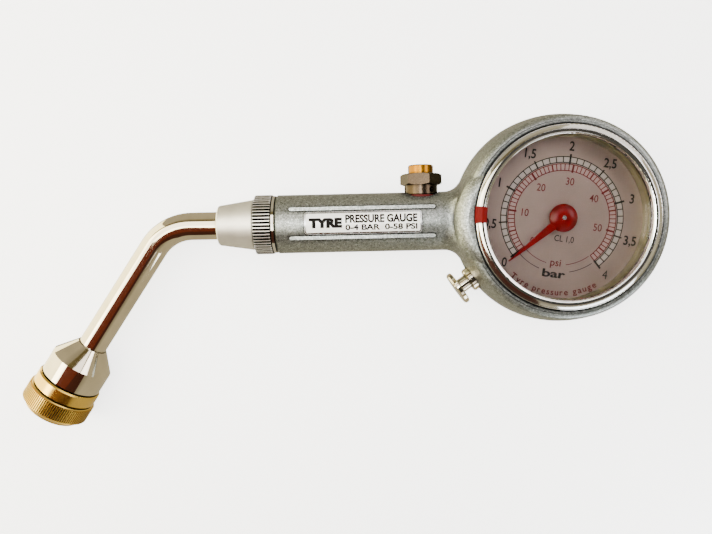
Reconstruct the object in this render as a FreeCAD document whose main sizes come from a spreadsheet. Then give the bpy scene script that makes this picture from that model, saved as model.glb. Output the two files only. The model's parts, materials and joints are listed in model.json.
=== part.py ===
import FreeCAD, Part
import math
import os
import Sketcher
from FreeCAD import Placement, Rotation, Vector

# Tyre pressure gauge: a 63 mm dial gauge in a cast housing, with a bent tube and a valve chuck.
# Frame: X runs along the handle with the dial at +X, Z is the dial's normal, and the origin is the
# centre of the housing's flat back, on the dial's axis.  All sizes are in millimetres and degrees.

QUARTER = 1 - math.sqrt(0.5)    # rise of a quarter circle's arc, as a part of its radius

DIMENSIONS = {
    # bowl of the housing, as radii about the dial axis and heights above the back
    "bowl_radius": 37.2, "back_radius": 26.0, "back_round": 11.2, "side_bulge": 0.35,
    "rim_radius": 35.2, "rim_height": 24.0, "rim_top": 27.0, "rim_land": 32.8, "rim_step": 0.35,
    "rim_bulge": 0.73,
    "recess_radius": 32.1, "recess_floor": 25.8, "seat_radius": 31.55, "seat_floor": 18.25,
    "ledge_radius": 29.4, "chamber_radius": 31.0, "chamber_top": 17.0, "chamber_floor": 2.8,
    # saddle: a second, smaller round body that swells the neck up to the bezel
    "saddle_place": 17.5, "saddle_radius": 22.0, "saddle_back": 10.8, "saddle_shoulder": 20.9,
    "saddle_shoulder_height": 23.2, "saddle_land": 16.4, "saddle_top": 27.75,
    "saddle_bulge": 1.2,
    # handle
    "axis_height": 12.4, "handle_radius": 10.55, "handle_end": 101.0, "neck_fillet": 7.0,
    "bore_radius": 5.2, "insert_radius": 6.5, "insert_depth": 15.0, "end_chamfer": 0.8,
    "rib_start": 44.5, "rib_end": 95.5, "rib_offset": 5.05, "rib_width": 1.2, "rib_rise": 0.6,
    "rib_root": 7.0,
    "label_start": 49.3, "label_end": 90.2, "label_width": 7.8, "label_thick": 0.3,
    "label_corner": 1.1,
    # bezel, lens and dial
    "bezel_radius": 31.5, "bezel_inner": 28.1, "bezel_wall": 30.45, "bezel_foot": 19.3,
    "bezel_edge": 27.85, "bezel_crest": 28.95, "bezel_crown": 29.75, "bezel_under": 26.7,
    "bezel_slope": 28.15, "bezel_lip": 28.25,
    "dial_radius": 30.2, "dial_thick": 0.8, "spacer_inner": 28.25, "spacer_flare": 0.5,
    "gasket_floor": 24.2, "lens_floor": 24.6, "lens_thick": 2.0, "lens_radius": 30.4,
    # pointer and its arbor
    "pointer_floor": 20.6, "pointer_height": 1.7, "pointer_crown": 1.6, "pointer_hub": 4.9,
    "pointer_tip": 23.9, "pointer_angle": 217.5, "arbor_radius": 0.75, "pivot_radius": 0.45,
    "pivot_gap": 0.05,
    # movement
    "plate_floor": 6.0, "plate_thick": 1.2, "plate_gap": 6.8, "plate_radius": 19.0,
    "pillar_radius": 1.5, "screw_radius": 1.3, "gear_module": 0.3, "pinion_teeth": 12.0,
    "sector_teeth": 84.0, "sector_floor": 9.0, "sector_thick": 0.9, "tail_length": 6.4,
    "swing": 38.571, "link_angle": 105.0, "link_length": 7.0, "link_thick": 0.7,
    "pin_radius": 0.6, "bourdon_radius": 22.0, "bourdon_width": 2.4, "bourdon_height": 8.0,
    "bourdon_wall": 0.35, "bourdon_start": 200.0, "bourdon_sweep": 261.4,
    "spring_thick": 0.16, "spring_height": 0.6, "spring_floor": 12.3,
    # union nut, washer and spigot, as distances along the handle from the dial axis
    "washer_start": 101.05, "washer_end": 101.95, "washer_radius": 10.3,
    "nut_start": 102.1, "knurl_end": 108.6, "nut_end": 122.0, "nut_radius": 10.7,
    "nose_start_radius": 9.2, "nose_end_radius": 7.3, "spigot_radius": 8.0, "spigot_end": 107.0,
    "collar_radius": 7.0, "collar_thick": 2.0, "fit_gap": 0.05,
    # bent tube
    "tube_radius": 5.0, "tube_wall": 1.0, "tube_start": 90.0, "corner": 141.2,
    "tube_turn": 55.8, "bend_radius": 17.0, "tube_end": 57.5,
    # chuck, as distances along the lower leg from the corner of its centre line
    "cone_start": 52.0, "cone_end": 59.0, "chuck_radius": 10.9, "chuck_end": 67.2,
    "ring_start": 67.5, "ring_end": 72.3, "ring_radius": 11.5, "nose_radius": 9.4, "nose_end": 73.6,
    "cap_start": 72.7, "cap_knurl_end": 78.7, "cap_end": 80.9, "cap_radius": 12.2,
    "cap_end_radius": 10.0, "mouth_radius": 4.2, "mouth_start": 76.2,
    "seal_end": 75.8, "chuck_bore": 6.6, "socket_gap": 0.5,
    # check valve, as distances along the handle from the dial axis
    "valve_seat": 80.0, "poppet_end": 80.9, "retainer_end": 64.0,
    # bleed valve on the handle's side, as heights above the handle's axis
    "bleed_place": 48.6, "spot_height": 8.7, "spot_radius": 6.3, "thread_radius": 4.0,
    "gasket_radius": 5.6, "gasket_thick": 0.8, "flange_radius": 5.9, "flange_top": 13.0,
    "hex_flats": 13.0, "hex_turn": 108.7, "hex_top": 17.0, "collar_bore": 4.62,
    "button_radius": 4.5, "button_top": 20.2,
    "vent_radius": 1.0, "vent_height": 11.3,
    # reset button on the bowl's side, as distances from the dial axis
    "reset_angle": 214.5, "reset_head_radius": 6.2, "reset_head_thick": 1.9, "reset_end": 44.3,
    "reset_stem": 2.6, "bush_radius": 4.4, "bush_end": 38.9, "bush_thread": 3.6,
    "reset_spot": 36.5, "spot_gap": 0.15, "bush_start": 31.4, "reset_pin": 1.2, "reset_pin_end": 30.1,
    "bush_floor": 32.4, "reset_shoulder": 36.2, "reset_seal_radius": 2.6,
    # red marker on the bezel
    "marker_angle": 177.0, "marker_span": 10.4, "marker_gap": 0.1, "marker_thick": 0.22,
    "marker_skirt": 1.3,
}

doc = FreeCAD.newDocument("tyre_pressure_gauge")
sheet = doc.addObject("Spreadsheet::Sheet", "Dims")


class Size:
    """A length or angle that knows its value and the sheet expression that it comes from."""

    def __init__(self, value, text=None):
        self.value = float(value)
        self.text = text or repr(float(value))

    def __add__(self, other):
        other = size(other)
        return Size(self.value + other.value, f"({self.text} + {other.text})")

    def __sub__(self, other):
        other = size(other)
        return Size(self.value - other.value, f"({self.text} - {other.text})")

    def __rsub__(self, other):
        return size(other) - self

    def __mul__(self, other):
        other = size(other)
        return Size(self.value * other.value, f"({self.text} * {other.text})")

    def __truediv__(self, other):
        other = size(other)
        return Size(self.value / other.value, f"({self.text} / {other.text})")

    def __neg__(self):
        return self * -1

    __radd__ = __add__
    __rmul__ = __mul__


def size(value):
    return value if isinstance(value, Size) else Size(value)


class Dims:
    """The driving dimensions, each read as an attribute and bound to its cell."""


def fill_sheet():
    for row, (alias, value) in enumerate(DIMENSIONS.items(), start=1):
        sheet.set(f"A{row}", alias)
        sheet.set(f"B{row}", repr(value))
        sheet.setAlias(f"B{row}", alias)
        setattr(Dims, alias, Size(value, f"Dims.{alias}"))
    doc.recompute()


def cosine(angle):
    return Size(math.cos(math.radians(angle.value)), f"cos({angle.text})")


def sine(angle):
    return Size(math.sin(math.radians(angle.value)), f"sin({angle.text})")


def bind(item, **properties):
    for name, value in properties.items():
        if isinstance(value, Size):
            setattr(item, name, value.value)
            item.setExpression(name, value.text)
        else:
            setattr(item, name, value)


# ---------------------------------------------------------------- frames

def place(item, base=(0, 0, 0), rotation=Rotation()):
    """Put an item at a base given as sizes, with its expressions bound."""
    item.Placement = Placement(Vector(*[size(v).value for v in base]), rotation)
    for letter, value in zip("xyz", base):
        if isinstance(value, Size):
            item.setExpression(f"Placement.Base.{letter}", value.text)
    return item


def along_handle(item):
    """Local Z runs from the dial axis out along the handle, local X is the front."""
    return place(item, (0, 0, Dims.axis_height), Rotation(Vector(0, 1, 0), -90))


def along_lower_leg(item):
    """Local Z runs from the tube's corner down its lower leg."""
    turn = Rotation(Vector(0, 0, 1), Dims.tube_turn.value) * Rotation(Vector(0, 1, 0), -90)
    return place(item, (-Dims.corner, 0, Dims.axis_height), turn)


def along_bleed(item):
    """Local Z points out of the handle's +Y side, local X is the row's X."""
    return place(item, (-Dims.bleed_place, 0, Dims.axis_height), Rotation(Vector(1, 0, 0), -90))


def along_reset(item):
    """Local Z points out of the bowl's side, from the dial axis."""
    turn = Rotation(Vector(0, 0, 1), Dims.reset_angle.value) * Rotation(Vector(0, 1, 0), 90)
    return place(item, (0, 0, Dims.axis_height), turn)


def on_dial(angle=0.0, height=0):
    def frame(item):
        return place(item, (0, 0, height), Rotation(Vector(0, 0, 1), angle))
    return frame


# ---------------------------------------------------------------- sketches and bodies

def new_body(name):
    body = doc.addObject("PartDesign::Body", name)
    body.Label = name
    return body


def plane_of(body, role):
    return next(p for p in body.Origin.OriginFeatures if p.Role == role)


def new_sketch(body, name, role, offset=None):
    sketch = body.newObject("Sketcher::SketchObject", name)
    sketch.AttachmentSupport = (plane_of(body, role), [""])
    sketch.MapMode = "FlatFace"
    if offset is not None:
        sketch.AttachmentOffset = Placement(Vector(0, 0, offset.value), Rotation())
        sketch.setExpression("AttachmentOffset.Base.z", offset.text)
    return sketch


def fix_along(sketch, geometry, position, kind, value):
    """Hold a point's distance along one axis, or put it on the other axis where that is zero."""
    value = size(value)
    if value.value == 0:
        axis = -2 if kind == "DistanceX" else -1
        sketch.addConstraint(Sketcher.Constraint("PointOnObject", geometry, position, axis))
        return
    number = sketch.addConstraint(
        Sketcher.Constraint(kind, -1, 1, geometry, position, value.value))
    sketch.setExpression(f"Constraints[{number}]", value.text)


def fix_point(sketch, geometry, position, across, up):
    fix_along(sketch, geometry, position, "DistanceX", across)
    fix_along(sketch, geometry, position, "DistanceY", up)


def fix_bulge(sketch, arc, start, end):
    """Hold an arc between two fixed ends: by its radius, or a half circle by its centre."""
    chord = [size(end[i]) - size(start[i]) for i in (0, 1)]
    radius = sketch.Geometry[arc].Radius
    if radius > 0.5005 * math.hypot(chord[0].value, chord[1].value):
        sketch.addConstraint(Sketcher.Constraint("Radius", arc, radius))
        return
    i = 0 if abs(chord[0].value) < abs(chord[1].value) else 1
    middle = (size(start[i]) + size(end[i])) / 2
    fix_along(sketch, arc, 3, ("DistanceX", "DistanceY")[i], middle)


def end_nearest(sketch, geometry, point):
    first = sketch.getPoint(geometry, 1)
    second = sketch.getPoint(geometry, 2)
    return 1 if (first - point).Length < (second - point).Length else 2


def arc_middle(before, here, rise):
    """The top of an arc that stands a rise to the right of the straight way between its ends."""
    way = here - before
    right = Vector(way.y, -way.x, 0).normalize()
    return (before + here) / 2 + right * size(rise).value


def draw_outline(sketch, points):
    """A closed outline.  A point is (across, up), or (across, up, rise) where the stretch that
    arrives at it is an arc.  A rise is positive where an anticlockwise outline bulges outwards."""
    flat = [Vector(size(p[0]).value, size(p[1]).value, 0) for p in points]
    edges = []
    for i, point in enumerate(points):
        before, here = flat[i - 1], flat[i]
        if len(point) == 3:
            middle = arc_middle(before, here, point[2])
            edges.append(sketch.addGeometry(Part.Arc(before, middle, here)))
        else:
            edges.append(sketch.addGeometry(Part.LineSegment(before, here)))
    for i, edge in enumerate(edges):
        after = edges[(i + 1) % len(edges)]
        here_end = end_nearest(sketch, edge, flat[i])
        after_end = end_nearest(sketch, after, flat[i])
        sketch.addConstraint(Sketcher.Constraint("Coincident", edge, here_end, after, after_end))
        fix_point(sketch, edge, here_end, points[i][0], points[i][1])
        if len(points[i]) == 3:
            fix_bulge(sketch, edge, points[i - 1], points[i])


def draw_circle(sketch, across, up, radius):
    centre = Vector(size(across).value, size(up).value, 0)
    circle = sketch.addGeometry(Part.Circle(centre, Vector(0, 0, 1), size(radius).value))
    fix_point(sketch, circle, 3, across, up)
    number = sketch.addConstraint(Sketcher.Constraint("Radius", circle, size(radius).value))
    sketch.setExpression(f"Constraints[{number}]", size(radius).text)


def draw_slot(sketch, across, low, high, radius):
    """An upright slot: two straight sides and two round ends."""
    draw_outline(sketch, [
        (across - radius, low), (across + radius, low, radius),
        (across + radius, high), (across - radius, high, radius)])


def revolve(body, sketch, name, angle=360.0):
    feature = body.newObject("PartDesign::Revolution", name)
    feature.Profile = sketch
    feature.ReferenceAxis = (sketch, ["V_Axis"])
    bind(feature, Angle=angle)
    sketch.Visibility = False
    return feature


def pad(body, sketch, name, length, backwards=False):
    feature = body.newObject("PartDesign::Pad", name)
    feature.Profile = sketch
    feature.Reversed = backwards
    bind(feature, Length=length)
    return feature


def pocket(body, sketch, name, length, backwards=False):
    feature = body.newObject("PartDesign::Pocket", name)
    feature.Profile = sketch
    feature.Reversed = backwards
    bind(feature, Length=length)
    return feature


def turned(name, points, frame=on_dial(), angle=360.0):
    """A piece turned about its own Z axis from a closed outline of (radius, height)."""
    body = new_body(name)
    sketch = new_sketch(body, f"{name}_profile", "XZ_Plane")
    draw_outline(sketch, points)
    revolve(body, sketch, f"{name}_turn", angle)
    return frame(body)


def tube(name, inner, outer, low, high, frame=on_dial()):
    return turned(name, [(inner, low), (outer, low), (outer, high), (inner, high)], frame)


def plate(name, points, holes, low, thick, frame=on_dial()):
    """A flat plate: a closed outline with round holes, padded upwards from a height."""
    body = new_body(name)
    sketch = new_sketch(body, f"{name}_outline", "XY_Plane", size(low))
    draw_outline(sketch, points)
    for across, up, radius in holes:
        draw_circle(sketch, across, up, radius)
    pad(body, sketch, f"{name}_pad", thick)
    return frame(body)


def cylinder(name, radius, low, high, frame=on_dial(), across=0, up=0):
    """A plain round bar at (across, up) of a frame, from one height to another."""
    item = doc.addObject("Part::Cylinder", name)
    bind(item, Radius=size(radius), Height=size(high) - size(low))
    frame(item)
    shift = Placement(Vector(size(across).value, size(up).value, size(low).value), Rotation())
    for letter in "xyz":
        item.setExpression(f"Placement.Base.{letter}", None)
    item.Placement = item.Placement.multiply(shift)
    return item


def fuse(name, items):
    item = doc.addObject("Part::MultiFuse", name)
    item.Shapes = items
    item.Label = name
    return item


def cut(name, base, tools):
    tool = tools[0] if len(tools) == 1 else fuse(f"{name}_tools", tools)
    item = doc.addObject("Part::Cut", name)
    item.Base = base
    item.Tool = tool
    item.Label = name
    return item


def feature(name, shape, frame=on_dial()):
    item = doc.addObject("Part::Feature", name)
    item.Shape = shape
    item.Label = name
    return frame(item)


def toothed_outline(count, root, tip, width_root, width_tip, start=0, teeth=None):
    """Corners of straight-sided teeth about the origin; widths are parts of the tooth spacing."""
    step = 2 * math.pi / count
    corners = []
    for tooth in range(teeth or count):
        middle = math.radians(start) + tooth * step
        for radius, offset in ((root, -width_root), (tip, -width_tip),
                               (tip, width_tip), (root, width_root)):
            angle = middle + offset * step / 2
            corners.append(Vector(radius * math.cos(angle), radius * math.sin(angle), 0))
    return corners


def prism(corners, low, high):
    face = Part.Face(Part.makePolygon(corners + corners[:1]))
    face.translate(Vector(0, 0, low))
    return face.extrude(Vector(0, 0, high - low))


def knurl(name, root, tip, count, low, high, frame):
    """A straight-knurled band: sharp ridges from the root radius to the tip radius."""
    corners = toothed_outline(count, root.value, tip.value, 0.96, 0.3)
    return feature(name, prism(corners, low.value, high.value), frame)


def coil(name, radius, wire, low, high, turns, frame):
    """A helical spring with round wire."""
    length = high.value - low.value
    helix = Part.makeHelix(length / turns, length, radius)
    helix.translate(Vector(0, 0, low.value))
    section = Part.Circle(Vector(radius, 0, low.value), Vector(0, 1, 0), wire).toShape()
    shape = Part.Wire(helix.Edges).makePipeShell([Part.Wire(section)], True, True)
    return feature(name, shape, frame)


# ---------------------------------------------------------------- housing

def housing():
    d = Dims
    body = new_body("housing_casting")
    profile = new_sketch(body, "bowl_profile", "XZ_Plane")
    draw_outline(profile, [
        (0, 0), (d.back_radius, 0), (d.bowl_radius, d.back_round, d.back_round * QUARTER),
        (d.rim_radius, d.rim_height, d.side_bulge),
        (d.rim_land, d.rim_top - d.rim_step, d.rim_bulge), (d.rim_land, d.rim_top), (0, d.rim_top)])
    revolve(body, profile, "bowl_turn")
    saddle(body)
    grip = new_sketch(body, "handle_circle", "YZ_Plane")
    draw_circle(grip, 0, d.axis_height, d.handle_radius)
    stick = pad(body, grip, "handle_pad", d.handle_end, backwards=True)
    doc.recompute()
    neck = body.newObject("PartDesign::Fillet", "neck_fillet")
    neck.Base = (stick, neck_edges(stick.Shape))
    bind(neck, Radius=d.neck_fillet)
    doc.recompute()
    chamfer = body.newObject("PartDesign::Chamfer", "handle_chamfer")
    chamfer.Base = (neck, end_edges(neck.Shape))
    bind(chamfer, Size=d.end_chamfer)
    doc.recompute()
    ribs(body)
    hollow(body)
    return drilled_housing(body)


def saddle(body):
    """The swelling of the neck, turned about an upright axis nearer to the handle."""
    d = Dims
    profile = new_sketch(body, "saddle_profile", "XZ_Plane")
    profile.AttachmentOffset = Placement(Vector(-d.saddle_place.value, 0, 0), Rotation())
    profile.setExpression("AttachmentOffset.Base.x", f"-{d.saddle_place.text}")
    draw_outline(profile, [
        (0, 0), (d.saddle_back, 0), (d.saddle_radius, d.back_round, d.back_round * QUARTER),
        (d.saddle_shoulder, d.saddle_shoulder_height, d.side_bulge),
        (d.saddle_land, d.saddle_top, d.saddle_bulge), (0, d.saddle_top)])
    revolve(body, profile, "saddle_turn")


def neck_edges(shape):
    """The edges where the handle runs into the bowl: curves on the handle's skin, but no circles."""
    found = []
    for number, edge in enumerate(shape.Edges, start=1):
        middle = edge.valueAt((edge.FirstParameter + edge.LastParameter) / 2)
        off_axis = math.hypot(middle.y, middle.z - Dims.axis_height.value)
        on_skin = abs(off_axis - Dims.handle_radius.value) < 0.01
        if on_skin and edge.Curve.TypeId == "Part::GeomBSplineCurve":
            found.append(f"Edge{number}")
    return found


def end_edges(shape):
    """The round edge of the handle's free end."""
    return [f"Edge{number}" for number, edge in enumerate(shape.Edges, start=1)
            if edge.BoundBox.XMax < 0.01 - Dims.handle_end.value]


def ribs(body):
    """Two raised ribs with round ends, padded up from inside the handle."""
    d = Dims
    half = d.rib_width / 2
    sketch = new_sketch(body, "rib_outlines", "XY_Plane", d.axis_height + d.rib_root)
    for side in (-1, 1):
        across = d.rib_offset * side
        draw_outline(sketch, [
            (half - d.rib_end, across - half, half), (-d.rib_start - half, across - half),
            (-d.rib_start - half, across + half, half), (half - d.rib_end, across + half)])
    skin = Size(math.sqrt(d.handle_radius.value ** 2 - d.rib_offset.value ** 2),
                f"sqrt({d.handle_radius.text}^2 - {d.rib_offset.text}^2)")
    pad(body, sketch, "rib_pads", skin - d.rib_root + d.rib_rise)
    doc.recompute()


def hollow(body):
    d = Dims
    groove = body.newObject("PartDesign::Groove", "chamber")
    profile = new_sketch(body, "chamber_profile", "XZ_Plane")
    draw_outline(profile, [
        (0, d.chamber_floor), (d.chamber_radius, d.chamber_floor), (d.chamber_radius, d.chamber_top),
        (d.ledge_radius, d.chamber_top), (d.ledge_radius, d.seat_floor),
        (d.seat_radius, d.seat_floor), (d.seat_radius, d.recess_floor),
        (d.recess_radius, d.recess_floor), (d.recess_radius, d.saddle_top + 1),
        (0, d.saddle_top + 1)])
    groove.Profile = profile
    groove.ReferenceAxis = (profile, ["V_Axis"])
    groove.Angle = 360
    body.Tip = groove
    doc.recompute()
    for name, radius, start in (("through_bore", d.bore_radius, d.chamber_radius - 2),
                                ("insert_bore", d.insert_radius, d.handle_end - d.insert_depth)):
        sketch = new_sketch(body, f"{name}_circle", "YZ_Plane", -start)
        draw_circle(sketch, 0, d.axis_height, radius)
        pocket(body, sketch, name, d.handle_end - start + 1)
        doc.recompute()


def drilled_housing(body):
    """Spot faces and threaded holes for the two valves."""
    d = Dims
    beyond = 4
    tools = [
        cylinder("bleed_spot_face", d.spot_radius, d.spot_height, d.spot_height + beyond,
                 along_bleed),
        cylinder("bleed_thread", d.thread_radius, 1, d.spot_height + 1, along_bleed),
        cylinder("reset_spot_face", d.bush_radius + d.spot_gap, d.reset_spot,
                 d.bowl_radius + beyond, along_reset),
        cylinder("reset_thread", d.bush_thread, d.chamber_radius - 2, d.bowl_radius, along_reset)]
    return cut("housing", body, tools)


# ---------------------------------------------------------------- dial side

def bezel_ring():
    """Polished ring: a flat crown inside and a slope outside, ending in a rounded edge."""
    d = Dims
    return turned("bezel_ring", [
        (d.bezel_wall, d.bezel_foot), (d.bezel_radius, d.bezel_foot), (d.bezel_radius, d.bezel_edge),
        (d.bezel_radius - 0.4, d.bezel_slope, 0.12), (d.bezel_crown, d.bezel_crest, 0.08),
        (d.bezel_inner + 0.45, d.bezel_crest - 0.2, 0.1), (d.bezel_inner, d.bezel_lip, 0.15),
        (d.bezel_inner, d.bezel_under), (d.bezel_wall, d.bezel_under)])


def set_marker():
    """A thin clip over the bezel that slides round it: the bezel's outline, offset twice."""
    d = Dims
    gap = d.marker_gap
    skin = gap + d.marker_thick
    foot = d.bezel_edge - d.marker_skirt
    return turned("set_marker", [
        (d.bezel_inner - gap, d.bezel_under + gap), (d.bezel_inner - gap, d.bezel_lip),
        (d.bezel_inner + 0.45, d.bezel_crest - 0.2 + gap, -0.17),
        (d.bezel_crown, d.bezel_crest + gap, -0.1),
        (d.bezel_radius - 0.35, d.bezel_slope + gap, -0.09),
        (d.bezel_radius + gap, d.bezel_edge, -0.13),
        (d.bezel_radius + gap, foot), (d.bezel_radius + skin, foot),
        (d.bezel_radius + skin, d.bezel_edge), (d.bezel_radius - 0.3, d.bezel_slope + skin, 0.21),
        (d.bezel_crown, d.bezel_crest + skin, 0.1),
        (d.bezel_inner + 0.4, d.bezel_crest - 0.2 + skin, 0.1),
        (d.bezel_inner - skin, d.bezel_lip, 0.2), (d.bezel_inner - skin, d.bezel_under + gap)],
        on_dial(d.marker_angle.value - d.marker_span.value / 2), d.marker_span)


def dial_stack():
    d = Dims
    dial_top = d.seat_floor + d.dial_thick
    return [
        tube("dial", 1.6, d.dial_radius, d.seat_floor, dial_top),
        turned("spacer_ring", [
            (d.spacer_inner, dial_top), (d.dial_radius, dial_top), (d.dial_radius, d.gasket_floor),
            (d.spacer_inner + d.spacer_flare, d.gasket_floor),
            (d.spacer_inner, d.gasket_floor - 2.4 * d.spacer_flare)]),
        tube("lens_gasket", d.spacer_inner + d.spacer_flare, d.lens_radius, d.gasket_floor, d.lens_floor),
        turned("lens", [
            (0, d.lens_floor), (d.lens_radius, d.lens_floor),
            (d.lens_radius, d.lens_floor + d.lens_thick), (0, d.lens_floor + d.lens_thick)]),
    ]


def pointer():
    """A tapered arm on a domed hub, pressed on the arbor."""
    d = Dims
    low = d.pointer_floor
    root = 1.75
    waist = 1.4
    tip = 0.2
    hub = turned("pointer_hub_blank", [
        (d.arbor_radius, low), (d.pointer_hub - 0.2, low), (d.pointer_hub, low + 0.3),
        (d.pointer_crown, low + d.pointer_height, 0.34), (d.arbor_radius, low + d.pointer_height)])
    arm = plate("pointer_arm", [
        (2, -root), (d.pointer_hub, -waist), (d.pointer_tip, -tip),
        (d.pointer_tip, tip, tip), (d.pointer_hub, waist), (2, root)],
        [], low + 0.1, 0.6, on_dial(d.pointer_angle.value))
    clear = cylinder("pointer_bore", d.arbor_radius, low - 1, low + 3)
    return cut("pointer", fuse("pointer_blank", [hub, arm]), [clear])


def pointer_arbor():
    """Arbor with a 12-tooth pinion cut on it."""
    d = Dims
    back = d.plate_floor + 0.1
    back_top = d.plate_floor + d.plate_thick + 0.1
    shaft = turned("arbor_shaft", [
        (0, back), (d.pivot_radius, back), (d.pivot_radius, back_top), (d.arbor_radius, back_top),
        (d.arbor_radius, d.pointer_floor + d.pointer_height),
        (0, d.pointer_floor + d.pointer_height)])
    module = d.gear_module.value
    pitch = module * d.pinion_teeth.value / 2
    facing = math.degrees(math.atan2(sector_pivot()[1], sector_pivot()[0]))
    teeth = toothed_outline(int(d.pinion_teeth.value), pitch - 1.05 * module, pitch + 0.75 * module,
                            0.58, 0.2, facing)
    low = d.sector_floor.value - 0.5
    pinion = feature("pinion", prism(teeth, low, low + d.sector_thick.value + 1.0))
    return fuse("pointer_arbor", [shaft, pinion])


# ---------------------------------------------------------------- movement

def sector_pivot():
    """Centre of the sector's arbor, so that its tail swings evenly about the link's line."""
    d = Dims
    half = math.radians(d.swing.value / 2)
    side = -d.tail_length.value * (1 + math.cos(half)) / 2
    centres = d.gear_module.value * (d.pinion_teeth.value + d.sector_teeth.value) / 2
    ahead = math.sqrt(centres ** 2 - side ** 2)
    line = math.radians(d.link_angle.value)
    return (side * math.sin(line) + ahead * math.cos(line),
            -side * math.cos(line) + ahead * math.sin(line))


def tail_pin():
    """Centre of the pin on the sector's tail at rest."""
    d = Dims
    angle = math.radians(d.link_angle.value - 90 - d.swing.value / 2)
    x, y = sector_pivot()
    return x + d.tail_length.value * math.cos(angle), y + d.tail_length.value * math.sin(angle)


def tip_pin():
    """Centre of the pin on the tube's tip at rest, on the link's line from the dial axis."""
    d = Dims
    line = math.radians(d.link_angle.value)
    x, y = tail_pin()
    along = x * math.cos(line) + y * math.sin(line) + d.link_length.value
    return along * math.cos(line), along * math.sin(line)


PILLARS = ((-14.5, -9.0), (12.0, -10.0), (15.0, 7.0), (-15.2, 4.6))
DIAL_POSTS = ((-11.0, -13.0), (9.5, 13.5))


def movement_plate(name, low, arbor_hole):
    """A round plate with a flat towards the handle."""
    d = Dims
    radius = d.plate_radius
    pivot = sector_pivot()
    hole = d.pivot_radius + d.pivot_gap
    holes = [(0, 0, arbor_hole), (pivot[0], pivot[1], hole)]
    holes += [(x, y, d.screw_radius / 2) for x, y in PILLARS]
    flat = radius * 0.9
    side = radius * math.sqrt(1 - 0.9 ** 2)
    return plate(name, [(-flat, side, radius + flat), (-flat, -side)], holes, low, d.plate_thick)


def movement_frame():
    d = Dims
    inside = d.plate_floor + d.plate_thick
    front = inside + d.plate_gap
    pillars = [cylinder(f"pillar_{i}", d.pillar_radius, inside, front, across=x, up=y)
               for i, (x, y) in enumerate(PILLARS)]
    screws = [screw(f"plate_screw_{i}", x, y, front + d.plate_thick)
              for i, (x, y) in enumerate(PILLARS)]
    holes = [cylinder(f"pillar_hole_{i}", d.screw_radius / 2, front - 2.2, front + 1, across=x, up=y)
             for i, (x, y) in enumerate(PILLARS)]
    posts = [cylinder(f"dial_post_{i}", 1.2, front + d.plate_thick, d.seat_floor, across=x, up=y)
             for i, (x, y) in enumerate(DIAL_POSTS)]
    return [
        movement_plate("movement_back_plate", d.plate_floor, d.pivot_radius + d.pivot_gap),
        movement_plate("movement_front_plate", front, d.arbor_radius + d.pivot_gap),
        cut("movement_pillars", fuse("pillar_blanks", pillars), holes),
        fuse("movement_screws", screws),
        fuse("dial_posts", posts),
    ]


def screw(name, across, up, head_floor):
    """A slotted cheese-head screw, with its shank down from the head."""
    d = Dims
    shank = cylinder(f"{name}_shank", d.screw_radius / 2, head_floor - 3.2, head_floor + 0.3,
                     across=across, up=up)
    head = cylinder(f"{name}_head", d.screw_radius, head_floor, head_floor + 0.9,
                    across=across, up=up)
    slot = doc.addObject("Part::Box", f"{name}_slot")
    bind(slot, Length=d.screw_radius * 3, Width=size(0.3), Height=size(1))
    corner = Vector(across - d.screw_radius.value * 1.5, up - 0.15, head_floor.value + 0.5)
    slot.Placement = Placement(corner, Rotation())
    return cut(name, fuse(f"{name}_blank", [shank, head]), [slot])


def sector_gear():
    """Toothed segment with a round hub and a tail to the link."""
    d = Dims
    module = d.gear_module.value
    pitch = module * d.sector_teeth.value / 2
    x, y = sector_pivot()
    facing = math.degrees(math.atan2(-y, -x))
    step = 360 / d.sector_teeth.value
    count = 13
    last_tooth = 2
    start = facing + (last_tooth - count + 0.5) * step
    rim = toothed_outline(int(d.sector_teeth.value), pitch - 1.05 * module, pitch + 0.75 * module,
                          0.62, 0.24, start, count)
    hole = Vector(0, 0, 0)
    low, high = d.sector_floor.value, d.sector_floor.value + d.sector_thick.value
    segment = prism(rim + [hole], low, high)
    hub = Part.makeCylinder(2.2, high - low, Vector(0, 0, low))
    window_a = math.radians(start + 4 * step)
    window_b = math.radians(start + (count - 4) * step)
    window = prism([Vector(4.6 * math.cos(window_a), 4.6 * math.sin(window_a), 0),
                    Vector(9.6 * math.cos(window_a), 9.6 * math.sin(window_a), 0),
                    Vector(9.6 * math.cos(window_b), 9.6 * math.sin(window_b), 0),
                    Vector(4.6 * math.cos(window_b), 4.6 * math.sin(window_b), 0)],
                   low - 1, high + 1)
    tail_x, tail_y = tail_pin()
    tail = Vector(tail_x - x, tail_y - y, 0)
    across = Vector(-tail.y, tail.x, 0).normalize() * 1.1
    arm = prism([across * -1, across, tail + across, tail - across], low, high)
    eye = Part.makeCylinder(1.1, high - low, Vector(tail.x, tail.y, low))
    link_top = high + 0.15 + d.link_thick.value
    pin = Part.makeCylinder(d.pin_radius.value, link_top + 0.3 - low, Vector(tail.x, tail.y, low))
    shape = segment.cut(window).fuse([hub, arm, eye, pin]).removeSplitter()
    shape = shape.cut(Part.makeCylinder(d.arbor_radius.value, 9, Vector(0, 0, low - 3)))
    item = feature("sector_gear", shape)
    return place(item, (x, y, 0))


def sector_arbor():
    d = Dims
    x, y = sector_pivot()
    inside = d.plate_floor + d.plate_thick
    front = inside + d.plate_gap
    low, high = d.plate_floor + 0.15, front + d.plate_thick - 0.15
    item = turned("sector_arbor", [
        (0, low), (d.pivot_radius, low), (d.pivot_radius, inside + 0.12),
        (d.arbor_radius, inside + 0.12), (d.arbor_radius, front - 0.12),
        (d.pivot_radius, front - 0.12), (d.pivot_radius, high), (0, high)])
    return place(item, (x, y, 0))


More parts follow.
